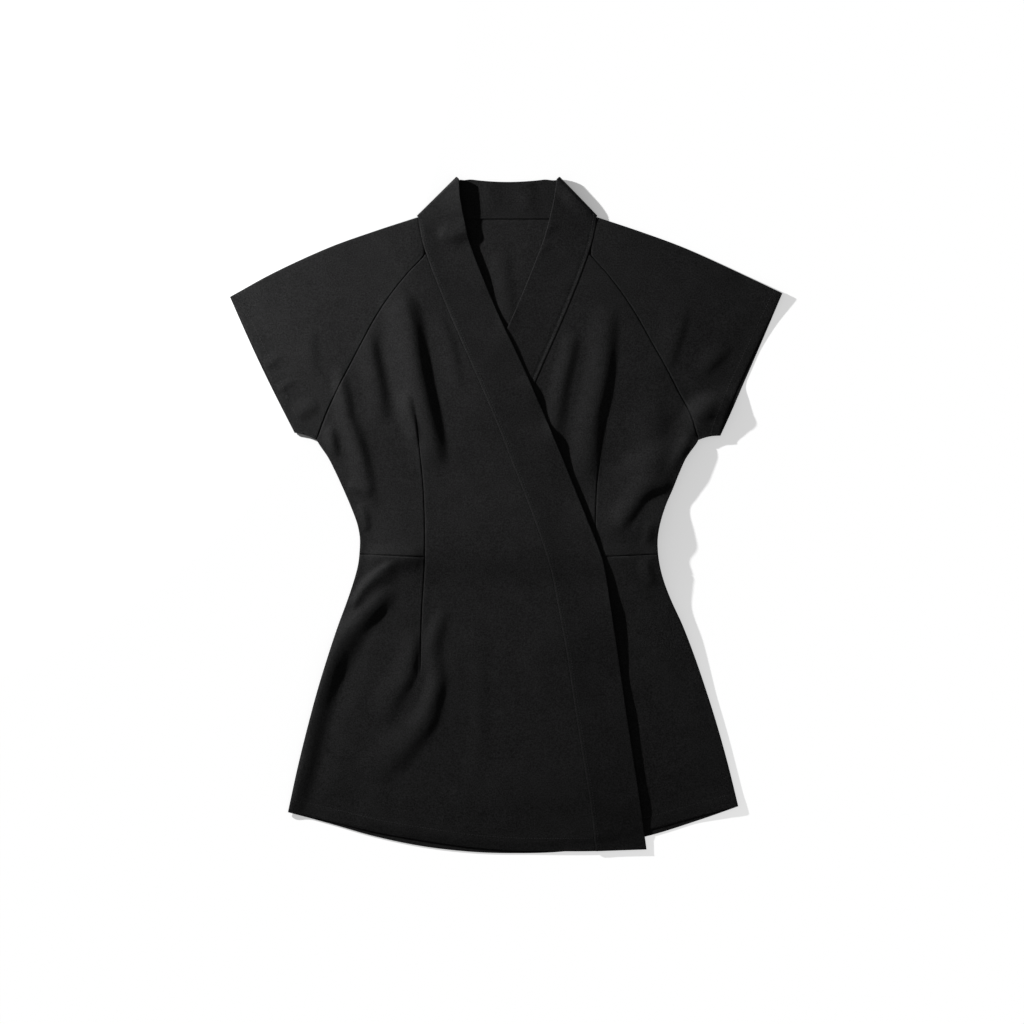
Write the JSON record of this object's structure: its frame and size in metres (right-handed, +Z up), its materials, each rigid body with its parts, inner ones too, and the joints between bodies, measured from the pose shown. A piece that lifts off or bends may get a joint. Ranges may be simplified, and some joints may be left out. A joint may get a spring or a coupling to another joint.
{
  "type": "wrap top",
  "caption": "Short-sleeved wrap top laid flat on its back, with a folded collar band crossing to one side and a flared, shaped waist.",
  "frame": {"origin": "middle of the outline, on the surface that the garment lies on", "axes": "+X to the wearer's left, +Y from hem to collar, +Z up from the surface"},
  "size_m": [0.635, 0.7773, 0.0142],
  "materials": {
    "body_cloth": "matte black woven crepe",
    "band_cloth": "matte black woven crepe, pressed double"
  },
  "bodies": {
    "root": {"back": "body_cloth", "right_front": "body_cloth", "left_front": "body_cloth", "right_sleeve": "body_cloth", "left_sleeve": "body_cloth", "band": "band_cloth"}
  },
  "joints": []
}
